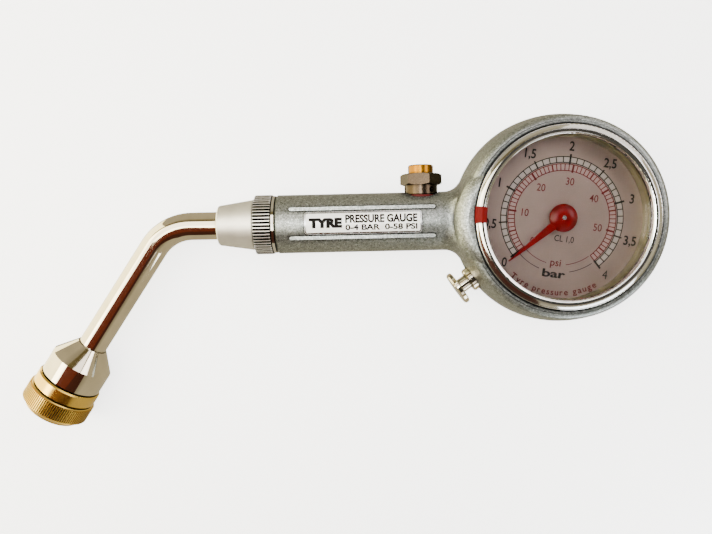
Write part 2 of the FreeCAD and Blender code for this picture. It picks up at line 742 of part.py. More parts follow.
def link():
    """Flat link from the sector's tail to the tube's tip; its tip hole is open with clearance."""
    d = Dims
    x, y = tail_pin()
    far_x, far_y = tip_pin()
    length = math.hypot(far_x - x, far_y - y)
    turn = math.degrees(math.atan2(far_y - y, far_x - x))
    width = 1.2
    far_width = 1.7
    item = plate("link", [
        (0, width), (0, -width, width), (length, -far_width), (length, far_width, far_width)],
        [(0, 0, d.pin_radius + d.pivot_gap), (length, 0, d.pin_radius + 0.5)],
        d.sector_floor + d.sector_thick + 0.15, d.link_thick)
    return place(item, (x, y, 0), Rotation(Vector(0, 0, 1), turn))


def bourdon_tube():
    """Flattened tube bent to a C about the dial axis."""
    d = Dims
    body = new_body("bourdon_tube")
    sketch = new_sketch(body, "bourdon_section", "XZ_Plane")
    middle = d.plate_floor + 5
    half = d.bourdon_height / 2 - d.bourdon_width / 2
    draw_slot(sketch, d.bourdon_radius, middle - half, middle + half, d.bourdon_width / 2)
    draw_slot(sketch, d.bourdon_radius, middle - half, middle + half,
              d.bourdon_width / 2 - d.bourdon_wall)
    revolve(body, sketch, "bourdon_bend", d.bourdon_sweep)
    return place(body, (0, 0, 0), Rotation(Vector(0, 0, 1), d.bourdon_start.value))


def tube_tip():
    """Plug on the tube's free end, with a lug and a pin for the link."""
    d = Dims
    end = d.bourdon_start.value + d.bourdon_sweep.value
    middle = d.plate_floor.value + 5
    radius = d.bourdon_radius.value
    block = Part.makeBox(3.4, 2.6, d.bourdon_height.value + 0.6,
                         Vector(radius - 1.7, 0.02, middle - d.bourdon_height.value / 2 - 0.3))
    block.rotate(Vector(0, 0, 0), Vector(0, 0, 1), end)
    pin_x, pin_y = tip_pin()
    link_floor = d.sector_floor.value + d.sector_thick.value + 0.15
    lug_floor = link_floor + d.link_thick.value + 0.2
    line = math.atan2(pin_y, pin_x)
    along = math.hypot(pin_x, pin_y)
    lug = Part.makeBox(radius - along, 2.2, 0.8, Vector(along, -1.1, lug_floor))
    lug.rotate(Vector(0, 0, 0), Vector(0, 0, 1), math.degrees(line))
    eye = Part.makeCylinder(1.1, 0.8, Vector(pin_x, pin_y, lug_floor))
    pin = Part.makeCylinder(d.pin_radius.value, lug_floor - link_floor + 0.1,
                            Vector(pin_x, pin_y, link_floor))
    return feature("tube_tip", block.fuse([lug, eye, pin]).removeSplitter())


def hairspring():
    """Flat spiral from the arbor's collet to a stud under the front plate."""
    d = Dims
    turns = 4.5
    first, last = d.arbor_radius.value + 0.15, 5.6
    steps = int(turns * 16)
    rails = []
    for side in (-0.5, 0.5):
        points = []
        for i in range(steps + 1):
            angle = 2 * math.pi * turns * i / steps
            radius = first + (last - first) * i / steps + side * d.spring_thick.value
            points.append(Vector(radius * math.cos(angle), radius * math.sin(angle), 0))
        curve = Part.BSplineCurve()
        curve.interpolate(points)
        rails.append(curve.toShape())
    ends = [Part.makeLine(rails[0].valueAt(rails[0].ParameterRange[i]),
                          rails[1].valueAt(rails[1].ParameterRange[i])) for i in (0, 1)]
    face = Part.Face(Part.Wire(Part.__sortEdges__(rails + ends)))
    face.translate(Vector(0, 0, d.spring_floor.value))
    return feature("hairspring", face.extrude(Vector(0, 0, d.spring_height.value)))


def socket_block():
    """Brass block with a stem into the handle's bore, holding the C tube and the movement."""
    d = Dims
    block = plate("socket_lump", [
        (-28.6, -6.5), (-20.0, -7.8), (-19.4, -7.8), (-19.4, 7.8), (-20.0, 7.8), (-28.6, 6.5)],
        [], d.chamber_floor + 0.2, 12.4)
    foot = plate("socket_foot", [(-20, -4), (8, -4), (8, 4), (-20, 4)], [],
                 d.chamber_floor + 0.2, d.plate_floor - d.chamber_floor - 0.2)
    stem = cylinder("socket_stem", d.bore_radius, 27, 42, along_handle)
    passage = cylinder("socket_passage", 1.4, 23, 43, along_handle)
    turn = Rotation(Vector(0, 0, 1), d.bourdon_start.value)
    mouth = Vector(d.bourdon_radius.value, 0, d.axis_height.value)
    cross = doc.addObject("Part::Cylinder", "socket_cross_hole")
    bind(cross, Radius=size(0.8), Height=size(9))
    cross.Placement = Placement(turn.multVec(mouth), turn * Rotation(Vector(1, 0, 0), 90))
    slot = doc.addObject("Part::Box", "socket_tube_slot")
    bind(slot, Length=size(5), Width=size(30), Height=d.bourdon_height + 0.2)
    corner = Vector(d.bourdon_radius.value - 2.8, 0,
                    d.plate_floor.value + 5 - d.bourdon_height.value / 2 - 0.1)
    slot.Placement = Placement(turn.multVec(corner), turn)
    return cut("socket_block", fuse("socket_blank", [block, foot, stem]), [passage, cross, slot])


# ---------------------------------------------------------------- handle's end and tube

def spigot():
    """Threaded insert in the handle's end that the union nut screws on."""
    d = Dims
    low = d.handle_end - d.insert_depth + 0.1
    groove = d.handle_end - 5.5
    return turned("spigot", [
        (d.tube_radius + d.fit_gap, low), (d.insert_radius, low), (d.insert_radius, d.handle_end),
        (d.spigot_radius, d.handle_end + 0.02), (d.spigot_radius, d.spigot_end - 0.6),
        (d.spigot_radius - 0.6, d.spigot_end), (d.tube_radius + d.fit_gap, d.spigot_end),
        (d.tube_radius + d.fit_gap, groove + 1.6), (d.insert_radius - 0.1, groove + 1.6),
        (d.insert_radius - 0.1, groove), (d.tube_radius + d.fit_gap, groove)], along_handle)


def swivel_oring():
    """Seal ring in the spigot's groove."""
    d = Dims
    item = doc.addObject("Part::Torus", "swivel_oring")
    bind(item, Radius1=d.tube_radius + 0.72, Radius2=size(0.66))
    place(item, (5.5 - d.handle_end - 0.8, 0, d.axis_height), Rotation(Vector(0, 1, 0), -90))
    item.Label = "swivel_oring"
    return item


def union_nut():
    d = Dims
    blank = turned("nut_blank", [
        (d.spigot_radius + d.fit_gap, d.nut_start), (d.nut_radius - 0.9, d.nut_start),
        (d.nut_radius - 0.5, d.nut_start + 0.3), (d.nut_radius - 0.5, d.knurl_end - 0.3),
        (d.nose_start_radius, d.knurl_end), (d.nose_end_radius, d.nut_end - 0.9),
        (d.nose_end_radius - 0.8, d.nut_end, 0.27),
        (d.tube_radius + 0.08, d.nut_end),
        (d.tube_radius + 0.08, d.spigot_end + d.collar_thick + 0.5),
        (d.collar_radius + 0.3, d.spigot_end + d.collar_thick + 0.5),
        (d.collar_radius + 0.3, d.spigot_end + 0.2),
        (d.spigot_radius + d.fit_gap, d.spigot_end + 0.2)], along_handle)
    band = knurl("nut_knurl", d.nut_radius - 0.55, d.nut_radius, 56,
                 d.nut_start + 0.25, d.knurl_end - 0.25, along_handle)
    clear = cylinder("nut_clear", d.nut_radius - 1.2, d.nut_start - 1, d.knurl_end + 1, along_handle)
    return fuse("union_nut", [blank, cut("nut_band", band, [clear])])


def bent_tube():
    """Round tube with one tangent bend, swept along its centre line."""
    d = Dims
    body = new_body("bent_tube")
    reach = d.bend_radius.value * math.tan(math.radians(d.tube_turn.value / 2))
    turn = math.radians(d.tube_turn.value)
    corner = -d.corner.value
    bend_in = Vector(corner + reach, 0, 0)
    leg = Vector(-math.cos(turn), -math.sin(turn), 0)
    bend_out = Vector(corner, 0, 0) + leg * reach
    centre = Vector(corner + reach, -d.bend_radius.value, 0)
    middle = centre + Vector(-math.sin(turn / 2), math.cos(turn / 2), 0) * d.bend_radius.value
    path = body.newObject("Sketcher::SketchObject", "tube_path")
    path.AttachmentSupport = (plane_of(body, "XY_Plane"), [""])
    path.MapMode = "FlatFace"
    first = path.addGeometry(Part.LineSegment(Vector(-d.tube_start.value, 0, 0), bend_in))
    bend = path.addGeometry(Part.Arc(bend_in, middle, bend_out))
    second = path.addGeometry(
        Part.LineSegment(bend_out, Vector(corner, 0, 0) + leg * d.tube_end.value))
    near = end_nearest(path, bend, bend_in)
    path.addConstraint(Sketcher.Constraint("Tangent", first, 2, bend, near))
    path.addConstraint(Sketcher.Constraint("Tangent", bend, 3 - near, second, 1))
    fix_point(path, first, 1, -d.tube_start, 0)
    path.addConstraint(Sketcher.Constraint("Horizontal", first))
    number = path.addConstraint(Sketcher.Constraint("Radius", bend, d.bend_radius.value))
    path.setExpression(f"Constraints[{number}]", d.bend_radius.text)
    fix_point(path, second, 2, -d.corner - d.tube_end * cosine(d.tube_turn),
              -d.tube_end * sine(d.tube_turn))
    section = new_sketch(body, "tube_section", "YZ_Plane", -d.tube_start)
    draw_circle(section, 0, 0, d.tube_radius)
    draw_circle(section, 0, 0, d.tube_radius - d.tube_wall)
    doc.recompute()
    sweep = body.newObject("PartDesign::AdditivePipe", "tube_sweep")
    sweep.Profile = section
    sweep.Spine = (path, ["Edge1", "Edge2", "Edge3"])
    return place(body, (0, 0, d.axis_height))


def handle_stack():
    d = Dims
    collar_low = d.spigot_end + 0.2
    return [
        tube("nut_washer", d.spigot_radius + d.fit_gap, d.washer_radius,
             d.washer_start, d.washer_end, along_handle),
        tube("tube_collar", d.tube_radius, d.collar_radius, collar_low,
             collar_low + d.collar_thick, along_handle),
    ]


def name_label():
    """Curved plate on the handle's front between the ribs, with rounded corners."""
    d = Dims
    skin = tube("label_skin", d.handle_radius, d.handle_radius + d.label_thick,
                d.label_start, d.label_end, along_handle)
    half = d.label_width / 2
    corner = d.label_corner
    rise = corner * QUARTER
    outline = plate("label_outline", [
        (-d.label_end, corner - half), (corner - d.label_end, -half, rise),
        (-d.label_start - corner, -half), (-d.label_start, corner - half, rise),
        (-d.label_start, half - corner), (-d.label_start - corner, half, rise),
        (corner - d.label_end, half), (-d.label_end, half - corner, rise)],
        [], d.axis_height, 2 * d.handle_radius)
    item = doc.addObject("Part::Common", "name_label")
    item.Base = skin
    item.Tool = outline
    item.Label = "name_label"
    return item


# ---------------------------------------------------------------- check valve

def check_valve():
    """Non-return valve in the handle's bore; it lifts towards the dial."""
    d = Dims
    bore = d.bore_radius
    seat, poppet, retainer = d.valve_seat, d.poppet_end, d.retainer_end
    port = 1.8
    guide = 1.2
    stem_end = poppet - 10.9
    spring_low = retainer + 0.6
    spring_high = poppet - 5.3
    return [
        turned("check_valve_seat", [
            (3.2, seat), (bore, seat), (bore, seat + 4), (port, seat + 4), (port, seat + 1.4)],
            along_handle),
        turned("check_valve_poppet", [
            (0, stem_end), (guide, stem_end), (guide, poppet - 4.9), (bore - 0.6, poppet - 4.9),
            (bore - 0.6, poppet - 1.7), (3.0, poppet - 1.7), (port - 0.08, poppet), (0, poppet)],
            along_handle),
        coil("check_valve_spring", 3.1, 0.35, spring_low, spring_high, 6, along_handle),
        tube("check_valve_retainer", 1.5, bore, retainer - 2, retainer, along_handle),
    ]


# ---------------------------------------------------------------- chuck

def chuck_body():
    """Cone and barrel with a sleeve for the tube, a narrow throat and a threaded nose."""
    d = Dims
    socket = d.tube_end + d.socket_gap
    throat = 3.4
    return turned("chuck_body", [
        (d.tube_radius, d.cone_start), (d.tube_radius + 0.45, d.cone_start),
        (d.chuck_radius, d.cone_end), (d.chuck_radius, d.chuck_end - 0.4),
        (d.chuck_radius - 0.4, d.chuck_end), (d.nose_radius, d.chuck_end),
        (d.nose_radius, d.nose_end), (d.chuck_bore, d.nose_end), (d.chuck_bore, socket + 3),
        (throat, socket + 1), (throat, socket), (d.tube_radius, socket)], along_lower_leg)


def chuck_ring():
    d = Dims
    edge = 0.5
    return turned("chuck_ring", [
        (d.nose_radius, d.ring_start), (d.ring_radius - edge, d.ring_start),
        (d.ring_radius, d.ring_start + edge), (d.ring_radius, d.ring_end - edge),
        (d.ring_radius - edge, d.ring_end), (d.nose_radius, d.ring_end)], along_lower_leg)


def chuck_cap():
    """Knurled cap that holds the rubber seal, with the mouth for a tyre valve."""
    d = Dims
    thread = d.nose_radius + d.fit_gap
    face = d.seal_end + 0.15
    blank = turned("cap_blank", [
        (thread, d.cap_start), (d.cap_radius - 0.9, d.cap_start),
        (d.cap_radius - 0.5, d.cap_start + 0.4), (d.cap_radius - 0.5, d.cap_knurl_end),
        (d.cap_end_radius + 0.3, d.cap_end - 0.7), (d.cap_end_radius - 0.6, d.cap_end, 0.22),
        (d.mouth_radius, d.cap_end), (d.mouth_radius, d.mouth_start),
        (5.2, d.mouth_start), (5.2, face), (thread, face)], along_lower_leg)
    band = knurl("cap_knurl", d.cap_radius - 0.55, d.cap_radius, 96,
                 d.cap_start + 0.3, d.cap_knurl_end - 0.05, along_lower_leg)
    clear = cylinder("cap_clear", d.cap_radius - 1.2, d.cap_start - 1, d.cap_knurl_end + 1,
                     along_lower_leg)
    return fuse("chuck_cap", [blank, cut("cap_band", band, [clear])])


def chuck_inside():
    """Rubber seal and the fixed pin that opens the tyre's valve, on a disc with six ports."""
    d = Dims
    disc = d.nose_end - 3.4
    disc_end = disc + 1.2
    tail = d.tube_end + d.socket_gap + 1.6
    seal = tube("valve_seal", 2.6, d.nose_radius - 0.2, d.nose_end + 0.1, d.seal_end,
                along_lower_leg)
    pin = turned("pin_blank", [
        (0, tail), (0.9, tail), (0.9, disc), (d.chuck_bore, disc), (d.chuck_bore, disc_end),
        (1.4, disc_end), (1.4, d.seal_end - 0.4), (1.0, d.seal_end + 0.1), (0, d.seal_end + 0.1)],
        along_lower_leg)
    ports = []
    for i in range(6):
        angle = i * math.pi / 3
        ports.append(cylinder(f"pin_port_{i}", 1.1, disc - 1, disc_end + 1, along_lower_leg,
                              4.2 * math.cos(angle), 4.2 * math.sin(angle)))
    return [seal, cut("depressor_pin", pin, ports)]


# ---------------------------------------------------------------- bleed valve

def bleed_hexagon():
    """Hexagon with its corners chamfered at both ends, standing on a corner towards the front."""
    d = Dims
    half = d.hex_flats / 2
    chamfered = turned("hex_chamfers", [
        (d.collar_bore, d.flange_top), (half + 0.1, d.flange_top), (half + 1.2, d.flange_top + 0.6),
        (half + 1.2, d.hex_top - 0.6), (half + 0.1, d.hex_top), (d.collar_bore, d.hex_top)],
        along_bleed)
    corner = half / math.cos(math.pi / 6)
    corners = []
    for i in range(6):
        angle = d.hex_turn + 60 * i
        corners.append((corner * cosine(angle), corner * sine(angle)))
    flats = plate("hex_flats_blank", corners, [], d.flange_top - 3, d.hex_top - d.flange_top + 6,
                  along_bleed)
    hexagon = doc.addObject("Part::Common", "bleed_hexagon")
    hexagon.Base = chamfered
    hexagon.Tool = flats
    return hexagon


def bleed_vents():
    """Cross holes through the collar, seen from the front and from the back."""
    d = Dims
    vents = []
    for i, angle in enumerate((-80, 35, 155)):
        vent = doc.addObject("Part::Cylinder", f"bleed_vent_{i}")
        bind(vent, Radius=d.vent_radius, Height=d.flange_radius + 2)
        place(vent, (-d.bleed_place, d.vent_height, d.axis_height),
              Rotation(Vector(0, 1, 0), angle))
        vents.append(vent)
    return vents


def bleed_valve():
    """Push valve on the handle's side: a hexagon body with a sprung button on a stem."""
    d = Dims
    gasket_top = d.spot_height + d.gasket_thick
    stem = 1.4
    thread_end = 3.6
    collar_floor = 10.3
    button_low = 14.2
    button_floor = d.button_top - 2
    blank = turned("bleed_blank", [
        (stem + 0.05, thread_end), (d.thread_radius, thread_end), (d.thread_radius, gasket_top),
        (d.flange_radius - 0.3, gasket_top), (d.flange_radius, gasket_top + 0.3),
        (d.flange_radius, d.flange_top), (d.flange_radius - 0.2, d.flange_top + 0.2),
        (d.collar_bore, d.flange_top + 0.2), (d.collar_bore, collar_floor),
        (stem + 0.05, collar_floor)], along_bleed)
    body = cut("bleed_valve_body", fuse("bleed_solid", [blank, bleed_hexagon()]), bleed_vents())
    gasket = tube("bleed_gasket", d.thread_radius, d.gasket_radius, d.spot_height, gasket_top,
                  along_bleed)
    button = turned("bleed_button", [
        (stem, button_low), (d.button_radius, button_low), (d.button_radius, d.button_top - 0.4),
        (d.button_radius - 0.4, d.button_top), (0, d.button_top), (0, button_floor),
        (stem, button_floor)], along_bleed)
    poppet = turned("bleed_stem", [
        (0, 1.6), (2.4, 1.6), (2.4, 2.6), (stem, thread_end - 0.1), (stem, button_floor),
        (0, button_floor)], along_bleed)
    spring = coil("bleed_spring", 3.0, 0.4, size(10.75), size(13.75), 3, along_bleed)
    return [body, gasket, button, poppet, spring]


# ---------------------------------------------------------------- reset button

def reset_valve():
    """Push button on the bowl's side: a disc on a stem in a bush, with a seal at its inner end."""
    d = Dims
    neck = d.reset_end - d.reset_head_thick
    pin, pin_end = d.reset_pin, d.reset_pin_end
    bore = pin + 0.05
    bush = turned("reset_bush", [
        (bore, d.bush_start), (d.bush_thread, d.bush_start), (d.bush_thread, d.reset_spot),
        (d.bush_radius, d.reset_spot), (d.bush_radius, d.bush_end - 0.5),
        (d.bush_radius - 0.5, d.bush_end), (d.reset_stem + 0.05, d.bush_end),
        (d.reset_stem + 0.05, d.bush_floor), (bore, d.bush_floor)], along_reset)
    button = turned("reset_button", [
        (0, pin_end), (pin, pin_end), (pin, d.reset_shoulder), (d.reset_stem, d.reset_shoulder),
        (d.reset_stem, neck), (d.reset_head_radius - 0.4, neck), (d.reset_head_radius, neck + 0.4),
        (d.reset_head_radius, d.reset_end - 0.5), (d.reset_head_radius - 0.5, d.reset_end),
        (0, d.reset_end)], along_reset)
    seal = tube("reset_seal", pin, d.reset_seal_radius, pin_end + 0.2, d.bush_start - 0.15,
                along_reset)
    spring = coil("reset_spring", 1.95, 0.25, d.bush_floor + 0.35, d.reset_shoulder - 0.35, 4,
                  along_reset)
    return [bush, button, seal, spring]


# ---------------------------------------------------------------- model

def build():
    fill_sheet()
    nodes = [housing(), bezel_ring(), set_marker(), *dial_stack(), pointer(), pointer_arbor()]
    nodes += [*movement_frame(), sector_gear(), sector_arbor(), link(), bourdon_tube(), tube_tip()]
    nodes += [hairspring(), socket_block(), spigot(), swivel_oring(), union_nut(), bent_tube()]
    nodes += [*handle_stack(), name_label(), *check_valve(), chuck_body(), chuck_ring(), chuck_cap()]
    nodes += [*chuck_inside(), *bleed_valve(), *reset_valve()]
    doc.recompute()
    return nodes


def check(nodes):
    for item in doc.Objects:
        faults = [word for word in item.State if word in ("Invalid", "Error")]
        if faults:
            raise RuntimeError(f"{item.Name}: {faults}")
    for node in nodes:
        if node.Shape.isNull() or not node.Shape.isValid():
            raise RuntimeError(f"{node.Label}: null or invalid shape")


def export(nodes):
    os.makedirs("parts", exist_ok=True)
    for node in nodes:
        node.Shape.exportStep(f"parts/{node.Label}.step")
        box = node.Shape.BoundBox
        print(f"{node.Label:24s} {len(node.Shape.Solids)} {node.Shape.Volume:10.2f} mm3  "
              f"x {box.XMin:.1f}..{box.XMax:.1f}  y {box.YMin:.1f}..{box.YMax:.1f}  "
              f"z {box.ZMin:.1f}..{box.ZMax:.1f}")


parts = build()
check(parts)
export(parts)
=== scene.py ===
import json
import math

import bmesh
import bpy
from mathutils import Matrix, Vector


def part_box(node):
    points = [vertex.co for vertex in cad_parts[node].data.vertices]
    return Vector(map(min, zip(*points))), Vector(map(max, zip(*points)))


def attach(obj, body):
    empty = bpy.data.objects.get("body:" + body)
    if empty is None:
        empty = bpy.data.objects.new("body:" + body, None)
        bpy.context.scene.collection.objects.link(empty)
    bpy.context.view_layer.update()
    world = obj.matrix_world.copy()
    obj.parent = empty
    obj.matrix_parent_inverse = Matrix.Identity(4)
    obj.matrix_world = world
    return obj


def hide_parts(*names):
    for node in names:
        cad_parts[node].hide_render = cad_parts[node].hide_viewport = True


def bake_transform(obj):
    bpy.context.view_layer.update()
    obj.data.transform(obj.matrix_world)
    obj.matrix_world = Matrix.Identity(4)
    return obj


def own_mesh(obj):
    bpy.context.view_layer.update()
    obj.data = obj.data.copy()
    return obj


# Looks of a tyre pressure gauge lying on its back.  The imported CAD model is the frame: X runs along
# the handle, Z is the dial's normal, and the dial's axis is the Z axis.  Lengths are in metres,
# except on the dial and in write(), where they are in mm.

MM = 0.001
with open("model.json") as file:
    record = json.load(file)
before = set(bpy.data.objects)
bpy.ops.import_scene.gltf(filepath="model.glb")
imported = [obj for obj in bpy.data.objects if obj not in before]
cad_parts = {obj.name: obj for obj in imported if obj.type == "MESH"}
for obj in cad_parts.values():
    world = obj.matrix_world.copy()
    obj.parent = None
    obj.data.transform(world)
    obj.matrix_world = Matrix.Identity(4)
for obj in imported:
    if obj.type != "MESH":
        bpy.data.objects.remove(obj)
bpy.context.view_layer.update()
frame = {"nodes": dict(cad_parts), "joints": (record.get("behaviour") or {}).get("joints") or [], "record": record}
NODES = frame["nodes"]

# Heights read from the frame.
DIAL_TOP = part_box("dial")[1].z
HANDLE_AXIS = (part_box("union_nut")[0].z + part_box("union_nut")[1].z) / 2


# ---------------------------------------------------------------- materials

# A Mix node has sockets of the same name for each data type, so its colour ones go by number.
MIX_FACTOR, MIX_COLOR_A, MIX_COLOR_B, MIX_RESULT = 0, 6, 7, 2
# How far the painted shade in grooves and corners reaches, on metal and on the casting.
PAINTED_SHADE_REACH = 1.1 * MM
CAST_PAINTED_SHADE_REACH = 1.6 * MM
FLAKE_SIZE = 0.22 * MM


class Shader:
    """A Principled material with short calls for the nodes that feed it."""

    def __init__(self, name, color, metallic=0.0, roughness=0.5, **sockets):
        self.material = bpy.data.materials.new(name)
        self.material.use_nodes = True
        self.tree = self.material.node_tree
        self.bsdf = self.tree.nodes["Principled BSDF"]
        self.set("Base Color", (*color, 1.0))
        self.set("Metallic", metallic)
        self.set("Roughness", roughness)
        for socket, value in sockets.items():
            self.set(socket.replace("_", " "), value)
        self.place = self.add("ShaderNodeTexCoord").outputs["Object"]

    def set(self, socket, value):
        """Give one of the shader's own sockets a number or colour."""
        self.bsdf.inputs[socket].default_value = value

    def add(self, kind, **settings):
        node = self.tree.nodes.new(kind)
        for name, value in settings.items():
            setattr(node, name, value)
        return node

    def link(self, output, node_input):
        self.tree.links.new(output, node_input)

    def feed(self, output, socket):
        """Let a node's output drive one of the shader's sockets."""
        self.link(output, self.bsdf.inputs[socket])

    def noise(self, size, detail=4.0, rough=0.55):
        """Noise whose features are about size metres across."""
        node = self.add("ShaderNodeTexNoise")
        self.link(self.place, node.inputs["Vector"])
        node.inputs["Scale"].default_value = 1.0 / size
        node.inputs["Detail"].default_value = detail
        node.inputs["Roughness"].default_value = rough
        return node.outputs["Fac"]

    def cells(self, size):
        """A random colour for each cell of about size metres."""
        node = self.add("ShaderNodeTexVoronoi")
        self.link(self.place, node.inputs["Vector"])
        node.inputs["Scale"].default_value = 1.0 / size
        return node.outputs["Color"]

    def ramp(self, value, low, high, start=0.0, end=1.0):
        """Map a value from low..high to start..end."""
        node = self.add("ShaderNodeMapRange")
        self.link(value, node.inputs["Value"])
        limits = {"From Min": low, "From Max": high, "To Min": start, "To Max": end}
        for name, number in limits.items():
            node.inputs[name].default_value = number
        return node.outputs["Result"]

    def colors(self, value, *stops):
        """A colour ramp; each stop is a position and a colour."""
        node = self.add("ShaderNodeValToRGB")
        self.link(value, node.inputs["Fac"])
        elements = node.color_ramp.elements
        while len(elements) < len(stops):
            elements.new(0.5)
        for element, (position, color) in zip(elements, stops):
            element.position = position
            element.color = (*color, 1.0)
        return node.outputs["Color"]

    def math(self, operation, first, second):
        node = self.add("ShaderNodeMath", operation=operation)
        for i, value in enumerate((first, second)):
            if isinstance(value, (int, float)):
                node.inputs[i].default_value = value
            else:
                self.link(value, node.inputs[i])
        return node.outputs["Value"]

    def grimy(self, color, reach, darkest, low=0.5, high=0.95):
        """Paint shade into a colour in grooves and corners narrower than about reach.

        Openness runs from 0 in a closed corner to 1 in the open.  At low and below the colour is
        darkest times itself, and at high and above it is unshaded.
        """
        hollow = self.add("ShaderNodeAmbientOcclusion")
        hollow.inputs["Distance"].default_value = reach
        blend = self.add("ShaderNodeMix", data_type="RGBA", blend_type="MULTIPLY")
        blend.inputs[MIX_FACTOR].default_value = 1.0
        self.link(color, blend.inputs[MIX_COLOR_A])
        self.link(self.ramp(hollow.outputs["AO"], low, high, darkest, 1.0),
                  blend.inputs[MIX_COLOR_B])
        return blend.outputs[MIX_RESULT]

    def bump(self, height, depth, below=None):
        """Relief of a depth in metres, over another relief if one is given."""
        node = self.add("ShaderNodeBump")
        node.inputs["Distance"].default_value = depth
        node.inputs["Strength"].default_value = 1.0
        self.link(height, node.inputs["Height"])
        if below is not None:
            self.link(below, node.inputs["Normal"])
        return node.outputs["Normal"]


def metal(name, color, roughness, spread=0.04, depth=0.000002, painted_groove_shade=0.25, low=0.5, high=0.95):
    """Polished or turned metal: faint cloudy wear, a fine grain, and painted shade in its grooves."""
    shader = Shader(name, color, metallic=1.0, roughness=roughness)
    cloud = shader.noise(0.0064, 3.0)
    fine = shader.noise(0.0008, 4.0, 0.6)
    dark = tuple(c * 0.88 for c in color)
    clean = shader.colors(cloud, (0.35, dark), (0.65, color))
    # Painted shade darkens the colour in grooves and corners.
    shader.feed(shader.grimy(clean, PAINTED_SHADE_REACH, painted_groove_shade, low, high), "Base Color")
    smoothest = max(roughness - spread, 0.02)
    shader.feed(shader.ramp(fine, 0.3, 0.7, smoothest, roughness + spread), "Roughness")
    shader.feed(shader.bump(fine, depth), "Normal")
    return shader.material


def cast_paint():
    """Hammered silver-grey paint on a casting, with fine bright flakes, an uneven skin, and painted shade in its
    corners and creases.
    """
    shader = Shader("cast_paint", (0.28, 0.29, 0.265), metallic=0.92, roughness=0.34)
    grain = shader.noise(0.0008, 5.0, 0.65)
    speck = shader.add("ShaderNodeSeparateColor")
    shader.link(shader.cells(FLAKE_SIZE), speck.inputs["Color"])
    mixed = shader.math("ADD", shader.math("MULTIPLY", grain, 0.7),
                        shader.math("MULTIPLY", speck.outputs["Red"], 0.3))
    silver = shader.colors(mixed, (0.32, (0.12, 0.128, 0.12)), (0.48, (0.235, 0.25, 0.235)),
                           (0.62, (0.36, 0.375, 0.355)), (0.76, (0.72, 0.74, 0.70)))
    # Painted shade darkens the casting's corners, creases and the feet of its ribs.
    shader.feed(shader.grimy(silver, CAST_PAINTED_SHADE_REACH, 0.05, 0.74, 1.0), "Base Color")
    shader.feed(shader.ramp(speck.outputs["Green"], 0.0, 1.0, 0.28, 0.40), "Roughness")
    lumps = shader.bump(shader.noise(0.0035, 2.0), 0.00014)
    shader.feed(shader.bump(mixed, 0.00006, below=lumps), "Normal")
    return shader.material


def glass():
    """Clear glass whose polish varies a little from place to place."""
    shader = Shader("lens_glass", (1.0, 1.0, 1.0), roughness=0.01, Transmission_Weight=1.0,
                    IOR=1.25)
    shader.feed(shader.ramp(shader.noise(0.004), 0.4, 0.7, 0.0, 0.02), "Roughness")
    return shader.material


def paint(name, color, roughness, depth=0.000012, shade=0.85, **sockets):
    """Paint, ink, rubber or fibre: patchy towards a shade of its colour, with a fine skin."""
    shader = Shader(name, color, roughness=roughness, **sockets)
    fine = shader.noise(0.0006, 4.0)
    dark = tuple(c * shade for c in color)
    shader.feed(shader.colors(shader.noise(0.003, 3.0), (0.35, dark), (0.65, color)), "Base Color")
    shader.feed(shader.ramp(fine, 0.3, 0.7, roughness - 0.05, roughness + 0.08), "Roughness")
    shader.feed(shader.bump(fine, depth), "Normal")
    return shader.material


def dial_paint():
    """Warm silver dial: very fine metallic grain under a satin lacquer."""
    shader = Shader("dial_silver", (0.235, 0.170, 0.150), metallic=0.5, roughness=0.42)
    fine = shader.noise(0.00025, 3.0, 0.7)
    cloud = shader.noise(0.012, 2.0)
    mixed = shader.math("ADD", shader.math("MULTIPLY", fine, 0.6),
                        shader.math("MULTIPLY", cloud, 0.4))
    shader.feed(shader.colors(mixed, (0.35, (0.210, 0.150, 0.130)),
                              (0.65, (0.265, 0.195, 0.172))), "Base Color")
    shader.feed(shader.bump(fine, 0.000006), "Normal")
    return shader.material


MATERIALS = {
    "cast": cast_paint(),
    "stainless": metal("stainless", (0.80, 0.78, 0.74), 0.10),
    "nickel": metal("nickel_bright", (0.80, 0.71, 0.54), 0.06, spread=0.025, depth=0.000001),
    "brass": metal("brass_turned", (0.95, 0.63, 0.13), 0.22),
    "bronze": metal("bronze_drawn", (0.70, 0.46, 0.24), 0.28),
    "steel": metal("steel_turned", (0.58, 0.58, 0.58), 0.25),
    "glass": glass(),
    "dial_face": dial_paint(),
    "pointer_red": paint("pointer_red", (0.13, 0.0003, 0.0012), 0.2, depth=0.000001,
                         Specular_IOR_Level=0.15),
    "marker_red": paint("marker_red", (0.12, 0.0001, 0.0001), 0.5, depth=0.000002,
                        Specular_IOR_Level=0.1),
    "black_rubber": paint("black_rubber", (0.02, 0.02, 0.02), 0.6),
    "red_fibre": paint("red_fibre", (0.075, 0.003, 0.002), 0.6, Specular_IOR_Level=0.2),
    "label_white": paint("label_white", (0.96, 0.96, 0.96), 0.35, shade=0.97,
                         Coat_Weight=1.0, Coat_Roughness=0.30, Coat_IOR=1.8),
}
PRINT_BLACK = paint("print_black", (0.003, 0.002, 0.002), 0.6, Specular_IOR_Level=0.1)
PRINT_RED = paint("print_red", (0.075, 0.001, 0.003), 0.6, Specular_IOR_Level=0.1)
PRINT_PALE = paint("print_pale", (0.30, 0.255, 0.225), 0.5, shade=0.93)
PRINT_PINK = paint("print_pink", (0.28, 0.18, 0.165), 0.5, shade=0.93)

